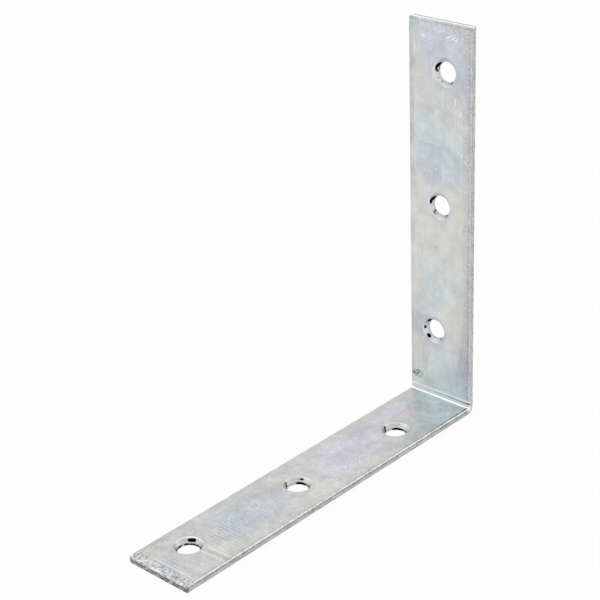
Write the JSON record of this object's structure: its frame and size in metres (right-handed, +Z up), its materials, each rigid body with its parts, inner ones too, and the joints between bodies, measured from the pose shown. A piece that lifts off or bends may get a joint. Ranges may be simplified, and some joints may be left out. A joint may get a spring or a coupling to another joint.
{
  "type": "corner brace",
  "caption": "Flat steel strip folded into a right-angled corner brace, with a slanted row of countersunk screw holes in each leg, bright zinc plated.",
  "frame": {"origin": "middle of the footprint, on the underside of the base", "axes": "+Z up along the upright, +Y from the base's end towards the upright, +X across the strip"},
  "size_m": [0.0286, 0.1524, 0.1524],
  "materials": {
    "zinc_plated_steel": "bright zinc plating with a pale blue passivation and faint iridescent patches, satin"
  },
  "bodies": {
    "root": {"corner_brace": "zinc_plated_steel"}
  },
  "joints": []
}
